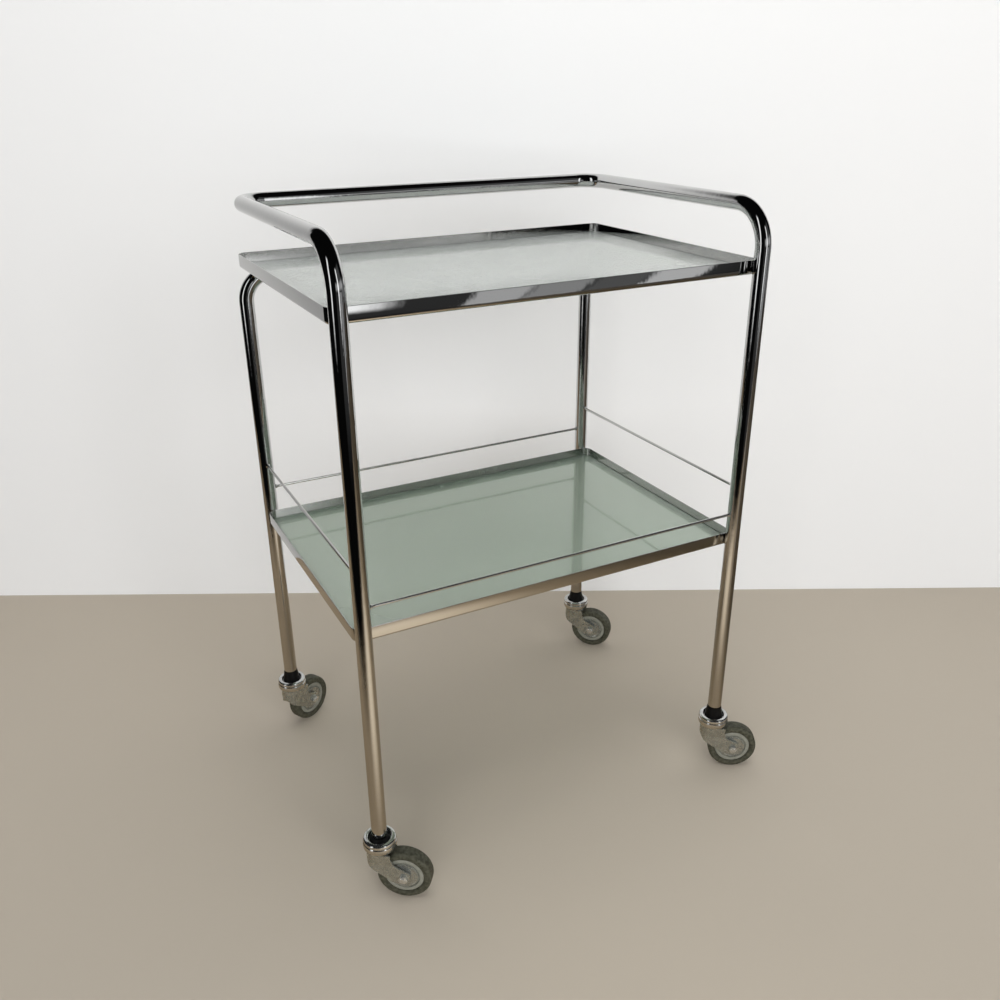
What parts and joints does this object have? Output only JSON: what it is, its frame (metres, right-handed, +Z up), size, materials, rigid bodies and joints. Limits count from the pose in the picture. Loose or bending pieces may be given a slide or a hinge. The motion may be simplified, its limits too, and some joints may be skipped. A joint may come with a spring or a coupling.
{
  "type": "spa trolley cart",
  "caption": "Spa trolley with two glass shelves in chromed rims, a chromed tube frame rising into an open-front handrail, gallery rods round the lower shelf and swivel castors.",
  "frame": {"origin": "on the floor, midway between the four castor stems", "axes": "+X along the long open front to the right, +Y from the front to the back, +Z up"},
  "size_m": [0.6933, 0.5366, 0.933],
  "materials": {
    "chrome_tube": "mirror polished chrome plating on steel tube",
    "chrome_sheet": "polished chrome plating on pressed sheet",
    "chrome_rod": "polished chrome plating on round wire",
    "textured_glass": "rolled texture, pale green",
    "smooth_glass": "smooth clear float glass, green tint",
    "clear_pad": "clear soft bumper",
    "black_plastic": "satin black moulding",
    "zinc_bolt": "zinc plated",
    "zinc_cup": "bright zinc plated pressing",
    "steel_ball": "polished",
    "zinc_fork": "dull zinc plated pressing",
    "bush_plastic": "nylon",
    "wheel_grey": "moulded grey",
    "tyre_rubber": "grey-green solid rubber",
    "zinc_guard": "dull zinc plated disc"
  },
  "bodies": {
    "trolley": {"front_frame": "chrome_tube", "rear_frame": "chrome_tube", "upper_rim": "chrome_sheet", "upper_glass": "textured_glass", "upper_pads": "clear_pad", "lower_rim": "chrome_sheet", "lower_glass": "smooth_glass", "lower_pads": "clear_pad", "left_rod": "chrome_rod", "right_rod": "chrome_rod", "front_rod": "chrome_rod", "back_rod": "chrome_rod", "upper_pins": "chrome_rod", "rear_lugs": "chrome_sheet", "lower_pins": "chrome_rod", "sleeve_front_left": "black_plastic", "stem_front_left": "zinc_bolt", "cup_front_left": "zinc_cup", "balls_front_left": "steel_ball", "sleeve_front_right": "black_plastic", "stem_front_right": "zinc_bolt", "cup_front_right": "zinc_cup", "balls_front_right": "steel_ball", "sleeve_back_right": "black_plastic", "stem_back_right": "zinc_bolt", "cup_back_right": "zinc_cup", "balls_back_right": "steel_ball", "sleeve_back_left": "black_plastic", "stem_back_left": "zinc_bolt", "cup_back_left": "zinc_cup", "balls_back_left": "steel_ball"},
    "swivel_front_left": {"fork_front_left": "zinc_fork", "axle_bolt_front_left": "zinc_bolt", "axle_nut_front_left": "zinc_bolt"},
    "wheel_front_left": {"bush_front_left": "bush_plastic", "wheel_centre_front_left": "wheel_grey", "tyre_front_left": "tyre_rubber", "guards_front_left": "zinc_guard"},
    "swivel_front_right": {"fork_front_right": "zinc_fork", "axle_bolt_front_right": "zinc_bolt", "axle_nut_front_right": "zinc_bolt"},
    "wheel_front_right": {"bush_front_right": "bush_plastic", "wheel_centre_front_right": "wheel_grey", "tyre_front_right": "tyre_rubber", "guards_front_right": "zinc_guard"},
    "swivel_back_right": {"fork_back_right": "zinc_fork", "axle_bolt_back_right": "zinc_bolt", "axle_nut_back_right": "zinc_bolt"},
    "wheel_back_right": {"bush_back_right": "bush_plastic", "wheel_centre_back_right": "wheel_grey", "tyre_back_right": "tyre_rubber", "guards_back_right": "zinc_guard"},
    "swivel_back_left": {"fork_back_left": "zinc_fork", "axle_bolt_back_left": "zinc_bolt", "axle_nut_back_left": "zinc_bolt"},
    "wheel_back_left": {"bush_back_left": "bush_plastic", "wheel_centre_back_left": "wheel_grey", "tyre_back_left": "tyre_rubber", "guards_back_left": "zinc_guard"}
  },
  "joints": [
    {"name": "swivel_turn_front_left", "type": "hinge", "parent": "trolley", "child": "swivel_front_left", "pos_m": [-0.3, -0.22, 0.085], "axis": [0, 0, 1], "continuous": true},
    {"name": "wheel_spin_front_left", "type": "hinge", "parent": "swivel_front_left", "child": "wheel_front_left", "pos_m": [-0.27168, -0.24057, 0.04], "axis": [-0.5878, -0.809, 0], "continuous": true},
    {"name": "swivel_turn_front_right", "type": "hinge", "parent": "trolley", "child": "swivel_front_right", "pos_m": [0.3, -0.22, 0.085], "axis": [0, 0, 1], "continuous": true},
    {"name": "wheel_spin_front_right", "type": "hinge", "parent": "swivel_front_right", "child": "wheel_front_right", "pos_m": [0.33031, -0.2375, 0.04], "axis": [-0.5, -0.866, 0], "continuous": true},
    {"name": "swivel_turn_back_right", "type": "hinge", "parent": "trolley", "child": "swivel_back_right", "pos_m": [0.3, 0.22, 0.085], "axis": [0, 0, 1], "continuous": true},
    {"name": "wheel_spin_back_right", "type": "hinge", "parent": "swivel_back_right", "child": "wheel_back_right", "pos_m": [0.32431, 0.19482, 0.04], "axis": [-0.7193, -0.6947, 0], "continuous": true},
    {"name": "swivel_turn_back_left", "type": "hinge", "parent": "trolley", "child": "swivel_back_left", "pos_m": [-0.3, 0.22, 0.085], "axis": [0, 0, 1], "continuous": true},
    {"name": "wheel_spin_back_left", "type": "hinge", "parent": "swivel_back_left", "child": "wheel_back_left", "pos_m": [-0.26969, 0.2375, 0.04], "axis": [0.5, -0.866, 0], "continuous": true}
  ]
}
